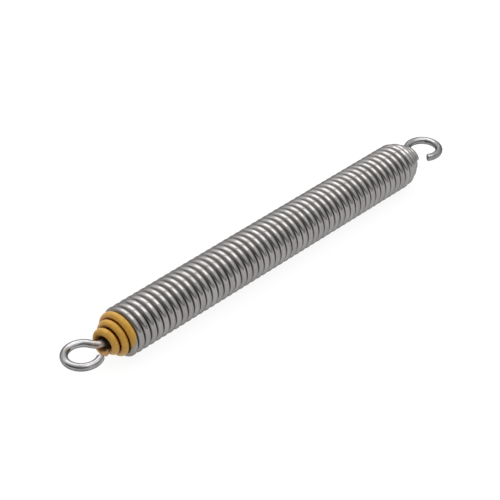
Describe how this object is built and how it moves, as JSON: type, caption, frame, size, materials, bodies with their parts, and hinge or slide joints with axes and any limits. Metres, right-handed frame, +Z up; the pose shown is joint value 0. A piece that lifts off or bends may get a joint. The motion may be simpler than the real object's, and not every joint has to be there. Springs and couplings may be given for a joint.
{
  "type": "barrier arm spring",
  "caption": "Close-wound steel extension spring that balances a barrier arm, with conical ends, a painted end marking, and headed open hooks that swivel in the cones.",
  "frame": {"origin": "on the surface the spring lies on, under the middle of its overall length", "axes": "+X along the coil axis from the painted end to the plain end, +Z up as it lies, both hook loops flat in the XY plane"},
  "size_m": [0.4276, 0.0406, 0.0406],
  "materials": {
    "spring_wire": "bright drawn spring wire, one coned end painted yellow",
    "hook_rod": "bright plated round rod"
  },
  "bodies": {
    "coil": {"spring_coil": "spring_wire"},
    "paint_hook": {"paint_end_hook": "hook_rod"},
    "plain_hook": {"plain_end_hook": "hook_rod"}
  },
  "joints": [
    {"name": "paint_end_swivel", "type": "hinge", "parent": "coil", "child": "paint_hook", "pos_m": [-0.177, 0, 0.0203], "axis": [1, 0, 0], "continuous": true},
    {"name": "plain_end_swivel", "type": "hinge", "parent": "coil", "child": "plain_hook", "pos_m": [0.177, 0, 0.0203], "axis": [1, 0, 0], "continuous": true}
  ]
}
